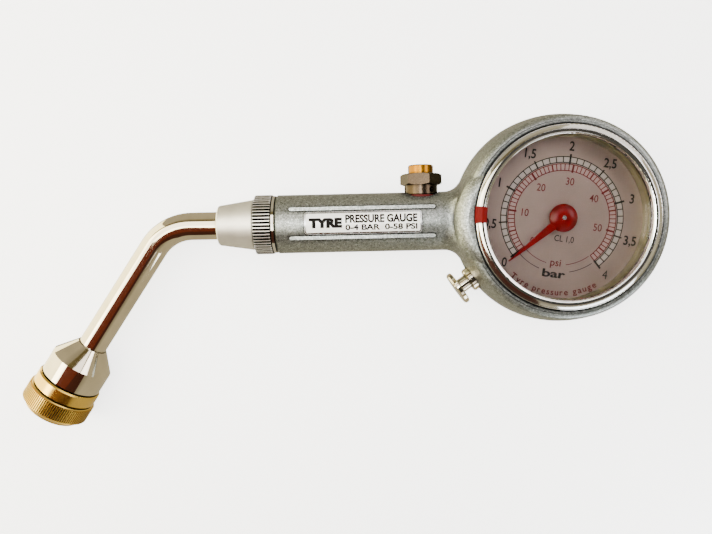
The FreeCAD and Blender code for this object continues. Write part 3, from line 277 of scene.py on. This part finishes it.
# Nodes that look different from the rest of their slot.
NODE_LOOKS = {
    # Some of these metals get stronger or weaker painted shade in their grooves; the nut's knurl gets the darkest.
    "spacer_ring": metal("spacer_lacquer", (0.46, 0.48, 0.30), 0.32, painted_groove_shade=0.6),
    "union_nut": metal("nickel_satin", (0.90, 0.87, 0.82), 0.46, spread=0.02, depth=0.0000005,
                       painted_groove_shade=0.0, low=0.78, high=0.98),
    "chuck_cap": metal("brass_knurled", (0.95, 0.64, 0.15), 0.32, painted_groove_shade=0.4),
    "bleed_button": metal("brass_button", (0.34, 0.14, 0.004), 0.28),
    "bleed_valve_body": metal("nickel_warm", (0.062, 0.044, 0.028), 0.24),
}


def dress_frame():
    """Give every CAD node the detailed material of its record slot, or its own.

    The lens is shaded flat.
    """
    for part in frame["record"]["subparts"]:
        node = part["node"]
        mesh = NODES[node].data
        mesh.materials.clear()
        mesh.materials.append(NODE_LOOKS.get(node, MATERIALS[part["material_slot"]]))
    for polygon in NODES["lens"].data.polygons:
        polygon.use_smooth = False


# ---------------------------------------------------------------- new pieces

def piece_from(name, bm, material, body="gauge"):
    """A new object from a bmesh, in its material, that rides on a body if one is named."""
    bmesh.ops.recalc_face_normals(bm, faces=bm.faces)
    mesh = bpy.data.meshes.new(name)
    bm.to_mesh(mesh)
    bm.free()
    mesh.materials.append(material)
    piece = bpy.data.objects.new(name, mesh)
    bpy.context.scene.collection.objects.link(piece)
    if body:
        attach(piece, body)
    return piece


def smooth(piece):
    """Shade a piece smooth."""
    for polygon in piece.data.polygons:
        polygon.use_smooth = True


def loft(bm, rings, closed_path=False):
    """Skin a row of rings with the same number of points, joined end to end or capped."""
    rows = [[bm.verts.new(point) for point in ring] for ring in rings]
    pairs = list(zip(rows, rows[1:]))
    if closed_path:
        pairs.append((rows[-1], rows[0]))
    for near, far in pairs:
        for i in range(len(near)):
            j = (i + 1) % len(near)
            bm.faces.new((near[i], near[j], far[j], far[i]))
    if not closed_path:
        bm.faces.new(rows[0])
        bm.faces.new(rows[-1][::-1])


# ---------------------------------------------------------------- dial print

PRINT_THICK = 0.02 * MM
LETTER_TILT = math.radians(-8.5)

# Radii and widths on the dial are in mm, and its angles are in degrees from X.
ZERO_ANGLE = 216.5
DEGREES_PER_BAR = -67.5
FULL_BAR = 4.0
FULL_PSI = 58
PSI_PER_BAR = 14.5038
BAR_RING = (19.40, 21.42)
PSI_RING = (16.60, 18.90)
BAR_NUMBERS = ("0", "0,5", "1", "1,5", "2", "2,5", "3", "3,5", "4")
BAR_NUMBER_RADIUS = 25.2
PSI_NUMBER_RADIUS = 13.0
PSI_WORD_RADIUS, BAR_WORD_RADIUS = 16.5, 19.2
LONG_TICK, MIDDLE_TICK = 0.65, 0.50


def bar_angle(bar):
    """The angle on the dial of a pressure in bar."""
    return ZERO_ANGLE + DEGREES_PER_BAR * bar


def on_dial(radius, degrees, z=0.0):
    """A point on the dial's face, or a little above it."""
    turn = math.radians(degrees)
    return Vector((radius * MM * math.cos(turn), radius * MM * math.sin(turn), DIAL_TOP + z))


def arc_band(bm, inner, outer, start, end, thick=PRINT_THICK):
    """A flat printed band between two radii and two angles."""
    steps = max(2, round(abs(end - start) / 2))
    rings = []
    for i in range(steps + 1):
        at = start + (end - start) * i / steps
        rings.append([on_dial(inner, at), on_dial(outer, at),
                      on_dial(outer, at, thick), on_dial(inner, at, thick)])
    loft(bm, rings)


def arc_line(bm, radius, start, end, width=0.32):
    """A printed line along an arc."""
    arc_band(bm, radius - width / 2, radius + width / 2, start, end)


def tick(bm, degrees, inner, outer, width):
    """A printed stroke across a scale."""
    along = on_dial(1.0, degrees) - on_dial(0.0, degrees)
    side = Vector((-along.y, along.x, 0.0)) * (width / 2)
    rings = []
    for radius in (inner, outer):
        low = on_dial(radius, degrees)
        high = on_dial(radius, degrees, PRINT_THICK)
        rings.append([low - side, low + side, high + side, high - side])
    loft(bm, rings)


def letters(words, scale, bold=0.0):
    """A mesh of letters standing on the X axis, as a print-thick solid from z = 0 up."""
    curve = bpy.data.curves.new("letters", "FONT")
    curve.body = words
    curve.offset = bold
    curve.resolution_u = 4
    curve.extrude = PRINT_THICK / scale / 2
    holder = bpy.data.objects.new("letters", curve)
    bpy.context.scene.collection.objects.link(holder)
    shown = holder.evaluated_get(bpy.context.evaluated_depsgraph_get())
    mesh = bpy.data.meshes.new_from_object(shown)
    bpy.data.objects.remove(holder)
    mesh.transform(Matrix.Scale(scale, 4))
    mesh.transform(Matrix.Translation((0.0, 0.0, PRINT_THICK / 2)))
    return mesh


def span(mesh, axis):
    """A mesh's lowest and highest place along an axis."""
    values = [vertex.co[axis] for vertex in mesh.vertices]
    return min(values), max(values)


CAP_HEIGHT = span(letters("H", 1.0), 1)[1]


def write(bm, words, cap, place, turn=LETTER_TILT, stretch=0.85, bold=0.0, width=None):
    """Print words of a capital height, and perhaps a width, in mm, centred on a place."""
    mesh = letters(words, cap * MM / CAP_HEIGHT, bold)
    left, right = span(mesh, 0)
    if width:
        stretch = width * MM / (right - left)
    mesh.transform(Matrix.Translation((-(left + right) / 2, -cap * MM / 2, 0.0)))
    mesh.transform(Matrix.Diagonal((stretch, 1.0, 1.0, 1.0)))
    mesh.transform(Matrix.Rotation(turn, 4, "Z"))
    mesh.transform(Matrix.Translation(place))
    bm.from_mesh(mesh)
    bpy.data.meshes.remove(mesh)


def write_round(bm, words, cap, radius, start, end):
    """Print words along an arc under the dial's centre, read from inside the circle."""
    scale = cap * MM / CAP_HEIGHT
    gap = 0.16 * cap
    widths = []
    for letter in words:
        if letter == " ":
            widths.append(0.5 * cap)
        else:
            left, right = span(letters(letter, scale), 0)
            widths.append((right - left) / MM + gap)
    along = 0.0
    for letter, width in zip(words, widths):
        middle = start + (end - start) * (along + width / 2) / sum(widths)
        along += width
        if letter != " ":
            write(bm, letter, cap, on_dial(radius, middle), math.radians(middle + 90), 1.0, 0.012)


def dial_print():
    """Both scales, their numbers and the words, in four inks."""
    low, high = bar_angle(0.0), bar_angle(FULL_BAR)
    pale, pink, black, red = (bmesh.new() for _ in range(4))
    arc_band(pale, *BAR_RING, low, high, PRINT_THICK / 2)
    arc_band(pink, *PSI_RING, low, high, PRINT_THICK / 2)
    for radius in BAR_RING:
        arc_line(black, radius, low, high)
    for radius in PSI_RING:
        arc_line(red, radius, low, high, 0.30)
    for tenth in range(round(FULL_BAR * 10) + 1):
        at = bar_angle(tenth / 10)
        if tenth % 10 == 0:
            tick(black, at, BAR_RING[0] - 0.6, BAR_RING[1] + 1.0, LONG_TICK)
        elif tenth % 5 == 0:
            tick(black, at, BAR_RING[0] - 0.3, BAR_RING[1] + 0.7, MIDDLE_TICK)
        else:
            tick(black, at, *BAR_RING, 0.34)
    for psi in range(FULL_PSI + 1):
        at = bar_angle(psi / PSI_PER_BAR)
        if psi % 10 == 0:
            tick(red, at, PSI_RING[0] - 0.5, PSI_RING[1], LONG_TICK)
        elif psi % 5 == 0:
            tick(red, at, *PSI_RING, MIDDLE_TICK)
        else:
            tick(red, at, *PSI_RING, 0.32)
    for half, number in enumerate(BAR_NUMBERS):
        # A bolder 4 would close up its own counter.
        write(black, number, 3.1, on_dial(BAR_NUMBER_RADIUS, bar_angle(half / 2)),
              bold=0.0 if number == "4" else 0.016)
    for psi in range(0, FULL_PSI, 10):
        at = bar_angle(psi / PSI_PER_BAR)
        write(red, str(psi), 2.5, on_dial(PSI_NUMBER_RADIUS, at), bold=0.005)
    write(black, "CL 1,0", 2.1, on_dial(7.4, -84.0), bold=0.008)
    write(red, "psi", 2.5, on_dial(15.7, -98.1), stretch=1.0, bold=0.008)
    write(black, "bar", 2.6, on_dial(19.7, -98.5), stretch=1.6, bold=0.03)
    for ink, radius, start, end in (
            (red, PSI_WORD_RADIUS, -138.6, -109.7), (red, PSI_WORD_RADIUS, -85.4, -55.5),
            (black, BAR_WORD_RADIUS, -140.4, -114.6), (black, BAR_WORD_RADIUS, -82.5, -57.2)):
        arc_line(ink, radius, start, end, 0.22)
    write_round(red, "Tyre pressure gauge", 2.1, 26.2, -133.0, -63.0)
    piece_from("dial_print_pale", pale, PRINT_PALE)
    piece_from("dial_print_pink", pink, PRINT_PINK)
    piece_from("dial_print_black", black, PRINT_BLACK)
    piece_from("dial_print_red", red, PRINT_RED)


# ---------------------------------------------------------------- label print

LABEL_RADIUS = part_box("name_label")[1].z - HANDLE_AXIS
RIM_CORNER = 1.1 * MM
RIM_OUTER, RIM_INNER = 1.05 * MM, 0.5 * MM
STRIP = 0.4 * MM
CUTS_EACH_WAY = 9
TITLE_AT = Vector((-82.8, 0.0, 0.0)) * MM
UPPER_LINE_AT = Vector((-63.4, 1.3, 0.0)) * MM
LOWER_LINE_AT = Vector((-63.4, -1.65, 0.0)) * MM


def label_frame():
    """The label's silvered rim, wrapped over its curved face."""
    low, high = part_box("name_label")
    middle = (low + high) / 2
    half = Vector((high.x - low.x, high.y - low.y)) / 2
    rings = []
    for corner in range(4):
        side = Vector((1 if corner in (0, 3) else -1, 1 if corner < 2 else -1))
        for step in range(7):
            turn = math.radians(90 * corner + 15 * step)
            facing = Vector((math.cos(turn), math.sin(turn)))
            ring = []
            for radius, lift in ((RIM_INNER, 0.0), (RIM_OUTER, 0.0), (RIM_OUTER, PRINT_THICK),
                                 (RIM_INNER, PRINT_THICK)):
                reach = half - Vector((1, 1)) * RIM_CORNER
                across = Vector((side.x * reach.x, side.y * reach.y)) + facing * radius
                ring.append(Vector((middle.x + across.x, across.y, lift)))
            rings.append(ring)
    bm = bmesh.new()
    loft(bm, rings, closed_path=True)
    wrap_on_label(bm)
    piece_from("label_frame", bm, MATERIALS["steel"])


def wrap_on_label(bm):
    """Cut flat print into strips and lay it over the label's curved face."""
    for step in range(-CUTS_EACH_WAY, CUTS_EACH_WAY + 1):
        everything = bm.verts[:] + bm.edges[:] + bm.faces[:]
        bmesh.ops.bisect_plane(bm, geom=everything, plane_co=(0, step * STRIP, 0),
                               plane_no=(0, 1, 0))
    for vertex in bm.verts:
        vertex.co.z += HANDLE_AXIS + math.sqrt(LABEL_RADIUS ** 2 - vertex.co.y ** 2)


def label_print():
    """Black words wrapped over the label's curved face."""
    bm = bmesh.new()
    write(bm, "TYRE", 2.8, TITLE_AT, 0.0, bold=0.08, width=11.6)
    write(bm, "PRESSURE GAUGE", 2.5, UPPER_LINE_AT, 0.0, bold=0.042, width=25.0)
    write(bm, "0-4 BAR  0-58 PSI", 1.8, LOWER_LINE_AT, 0.0, bold=0.034, width=25.0)
    wrap_on_label(bm)
    piece_from("label_print", bm, PRINT_BLACK)


# ---------------------------------------------------------------- springs and C tube

# Degrees from X at the C tube's fixed end, and the angle it runs through to its tip.
BOURDON_START, BOURDON_SWEEP = 200.0, 261.4
BOURDON_HALF_WIDTH = 1.2 * MM
BOURDON_STEPS = 120
BOURDON_SIDES = 16
STEPS_PER_TURN = 40
WIRE_SIDES = 12
RESET_SPRING_HALF = 1.49 * MM


def joint_axis(name):
    """The direction of a joint, as the frame gives it."""
    for joint in frame["joints"]:
        if joint["name"] == name:
            return Vector(joint["axis"])


def spring(node, start, end, radius, wire, turns):
    """A coil of round wire that stands for a CAD spring."""
    bm = bmesh.new()
    axis = (end - start).normalized()
    side = axis.orthogonal().normalized()
    other = axis.cross(side)
    steps = turns * STEPS_PER_TURN
    rings = []
    for i in range(steps + 1):
        turn = 2 * math.pi * turns * i / steps
        out = side * math.cos(turn) + other * math.sin(turn)
        middle = start.lerp(end, i / steps) + out * radius
        ring = []
        for k in range(WIRE_SIDES):
            around = 2 * math.pi * k / WIRE_SIDES
            ring.append(middle + out * wire * math.cos(around) + axis * wire * math.sin(around))
        rings.append(ring)
    loft(bm, rings)
    piece = piece_from(node + "_coil", bm, MATERIALS["steel"])
    smooth(piece)
    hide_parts(node)
    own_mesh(piece)


def bourdon_coil():
    """The flat coiled tube, which stands for the CAD C tube."""
    low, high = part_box("bourdon_tube")
    straight = (high.z - low.z) / 2 - BOURDON_HALF_WIDTH
    path_radius = high.x - BOURDON_HALF_WIDTH
    rings = []
    for i in range(BOURDON_STEPS + 1):
        along = math.radians(BOURDON_START + BOURDON_SWEEP * i / BOURDON_STEPS)
        ring = []
        for k in range(BOURDON_SIDES):
            turn = 2 * math.pi * (k + 0.5) / BOURDON_SIDES
            radius = path_radius + BOURDON_HALF_WIDTH * math.cos(turn)
            rise = BOURDON_HALF_WIDTH * math.sin(turn) + math.copysign(straight, math.sin(turn))
            ring.append(Vector((radius * math.cos(along), radius * math.sin(along),
                                (low.z + high.z) / 2 + rise)))
        rings.append(ring)
    bm = bmesh.new()
    loft(bm, rings)
    piece = piece_from("bourdon_coil", bm, MATERIALS["bronze"], body=None)
    smooth(piece)
    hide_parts("bourdon_tube")
    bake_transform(piece)


def springs():
    """The three coil springs; the reset spring lies along its joint's axis."""
    low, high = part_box("bleed_spring")
    centre = (low + high) / 2
    wire = 0.4 * MM
    spring("bleed_spring", Vector((centre.x, low.y + wire, centre.z)),
           Vector((centre.x, high.y - wire, centre.z)),
           radius=3.0 * MM, wire=wire, turns=3)
    low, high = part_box("check_valve_spring")
    centre = (low + high) / 2
    wire = 0.35 * MM
    spring("check_valve_spring", Vector((low.x + wire, centre.y, centre.z)),
           Vector((high.x - wire, centre.y, centre.z)),
           radius=3.1 * MM, wire=wire, turns=6)
    low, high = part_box("reset_spring")
    centre = (low + high) / 2
    inward = joint_axis("reset_press")
    wire = 0.25 * MM
    half = inward * (RESET_SPRING_HALF - wire)
    spring("reset_spring", centre + half, centre - half,
           radius=1.95 * MM, wire=wire, turns=4)


# ---------------------------------------------------------------- stage

SENSOR_WIDTH = 36.0
NEAR_CLIP = 0.01
CAMERA_AT = Vector((-69.35, -2.81, 248.33)) * MM
CAMERA_TURN = (math.radians(-3.238), math.radians(0.733), math.radians(-1.244))
CAMERA_LENS = 32.77
PURE_WHITE = (1.0, 1.0, 1.0)
WARM_WHITE = (1.0, 0.94, 0.78)
YELLOW_WHITE = (1.0, 0.91, 0.55)
LILAC_WHITE = (1.0, 0.96, 0.98)
BLUE_WHITE = (0.85, 0.92, 1.0)
FLOOR_HALF = 3
BACKDROP_RADIUS, BACKDROP_TOP, BACKDROP_SIDES = 2.9, 3.0, 72
PANEL_HEIGHT = 0.30
FLAG_HEIGHT = 0.275
LEG_FLAG_HEIGHT = 0.12


def camera():
    """The photograph's viewpoint."""
    data = bpy.data.cameras.new("camera")
    data.lens = CAMERA_LENS
    data.sensor_width = SENSOR_WIDTH
    data.clip_start = NEAR_CLIP
    item = bpy.data.objects.new("camera", data)
    item.location = CAMERA_AT
    item.rotation_euler = CAMERA_TURN
    bpy.context.scene.collection.objects.link(item)
    bpy.context.scene.camera = item


def softbox(name, centre, target, width, height, color, radiance):
    """A glowing panel that faces a target."""
    data = bpy.data.lights.new(name, "AREA")
    data.shape = "RECTANGLE"
    data.size = width
    data.size_y = height
    data.color = color
    data.energy = radiance * math.pi * width * height
    item = bpy.data.objects.new(name, data)
    item.location = centre
    aim = Vector(target) - Vector(centre)
    item.rotation_euler = aim.to_track_quat("-Z", "Y").to_euler()
    item.visible_camera = False
    bpy.context.scene.collection.objects.link(item)


def sheet(name, points, faces, shader):
    """A stage sheet, which isn't part of the object."""
    mesh = bpy.data.meshes.new(name)
    mesh.from_pydata(points, [], faces)
    mesh.materials.append(shader.material)
    item = bpy.data.objects.new(name, mesh)
    bpy.context.scene.collection.objects.link(item)
    return item


def flat_sheet(name, corners, height, shader):
    """A level stage sheet at a height."""
    points = [(x, y, height) for x, y in corners]
    return sheet(name, points, [list(range(len(corners)))], shader)


def sky():
    """A dim warm room: brighter near the horizon than overhead."""
    world = bpy.data.worlds.new("studio")
    bpy.context.scene.world = world
    world.use_nodes = True
    tree = world.node_tree
    direction = tree.nodes.new("ShaderNodeTexCoord").outputs["Generated"]
    parts = tree.nodes.new("ShaderNodeSeparateXYZ")
    tree.links.new(direction, parts.inputs["Vector"])
    ramp = tree.nodes.new("ShaderNodeValToRGB")
    tree.links.new(parts.outputs["Z"], ramp.inputs["Fac"])
    horizon, overhead = ramp.color_ramp.elements
    horizon.position = 0.35
    horizon.color = (0.62, 0.55, 0.38, 1.0)
    overhead.position = 0.9
    overhead.color = (0.07, 0.065, 0.055, 1.0)
    tree.links.new(ramp.outputs["Color"], tree.nodes["Background"].inputs["Color"])


def paper():
    """The pale floor and a pale round backdrop, both kept out of reflections."""
    white = Shader("floor_paper", (0.9, 0.9, 0.9), roughness=0.9, Emission_Strength=3.0)
    white.set("Emission Color", (1.0, 1.0, 1.0, 1.0))
    far = FLOOR_HALF
    floor = flat_sheet("floor", [(-far, -far), (far, -far), (far, far), (-far, far)], 0.0, white)
    floor.visible_glossy = False
    floor.visible_diffuse = False
    points = []
    for k in range(BACKDROP_SIDES + 1):
        turn = 2 * math.pi * k / BACKDROP_SIDES
        for z in (-0.01, BACKDROP_TOP):
            points.append((BACKDROP_RADIUS * math.cos(turn), BACKDROP_RADIUS * math.sin(turn), z))
    faces = [(2 * k, 2 * k + 2, 2 * k + 3, 2 * k + 1) for k in range(BACKDROP_SIDES)]
    backdrop = sheet("backdrop", points, faces, white)
    backdrop.visible_glossy = False
    backdrop.visible_diffuse = False
    backdrop.visible_transmission = False
    backdrop.visible_shadow = False


def flags():
    """Dark cloths that the camera doesn't see, which the polished metal mirrors as stripes."""
    maroon = Shader("maroon_cloth", (0.15, 0.022, 0.012), roughness=1.0)
    deep = Shader("deep_maroon_cloth", (0.06, 0.010, 0.007), roughness=1.0)
    olive = Shader("olive_cloth", (0.14, 0.12, 0.06), roughness=1.0)
    front = flat_sheet("front_flag", [(-0.6, -1.6), (-0.1, -1.6), (-0.02, -0.45), (-0.02, -0.13),
                                      (-0.6, -0.13)], FLAG_HEIGHT, deep)
    back = flat_sheet("back_flag", [(-0.6, 0.235), (0.1, 0.235), (0.1, 0.33), (-0.6, 0.33)],
                      FLAG_HEIGHT, olive)
    leg = flat_sheet("leg_flag", [(-0.192, 0.004), (-0.240, -0.060), (-0.262, -0.095),
                                  (-0.150, -0.110), (-0.122, -0.048)], LEG_FLAG_HEIGHT, maroon)
    for flag in (front, back, leg):
        flag.visible_camera = False
    # The leg's flag hangs close over the object, so it only shows in reflections.
    leg.visible_shadow = False
    leg.visible_diffuse = False


def overhead_panel(name, x, y, width, height, color, radiance, z=PANEL_HEIGHT):
    """A softbox that faces straight down."""
    softbox(name, (x, y, z), (x, y, 0.0), width, height, color, radiance)


def lights():
    """Softboxes above and around the object."""
    centre = (0.0, 0.0, 0.0)
    overhead_panel("top_near", -0.345, -0.055, 0.41, 0.15, WARM_WHITE, 9.0)
    overhead_panel("top_far", -0.345, 0.12, 0.41, 0.20, WARM_WHITE, 5.5)
    softbox("left_wall", (-0.75, 0.15, 0.0), (0.0, 0.15, 0.0), 1.0, 1.5, YELLOW_WHITE, 4.5)
    softbox("right_top", (0.34, 0.12, 0.33), centre, 0.25, 0.30, LILAC_WHITE, 6.0)
    softbox("back_right", (0.45, 0.55, 0.2), centre, 0.6, 0.5, LILAC_WHITE, 1.2)
    overhead_panel("crown_back", 0.085, 0.20, 0.26, 0.16, LILAC_WHITE, 3.0)
    overhead_panel("crown_front", 0.115, -0.19, 0.17, 0.10, LILAC_WHITE, 1.6, z=0.26)
    softbox("front_low", (0.125, -0.17, 0.05), (0.095, -0.04, 0.01), 0.20, 0.09, BLUE_WHITE, 6.0)
    overhead_panel("label_glow", -0.085, 0.012, 0.08, 0.07, PURE_WHITE, 24.0)
    overhead_panel("handle_back", -0.075, 0.10, 0.13, 0.08, LILAC_WHITE, 3.0)


camera()
paper()
flags()
sky()
lights()
dress_frame()
dial_print()
label_frame()
label_print()
springs()
bourdon_coil()
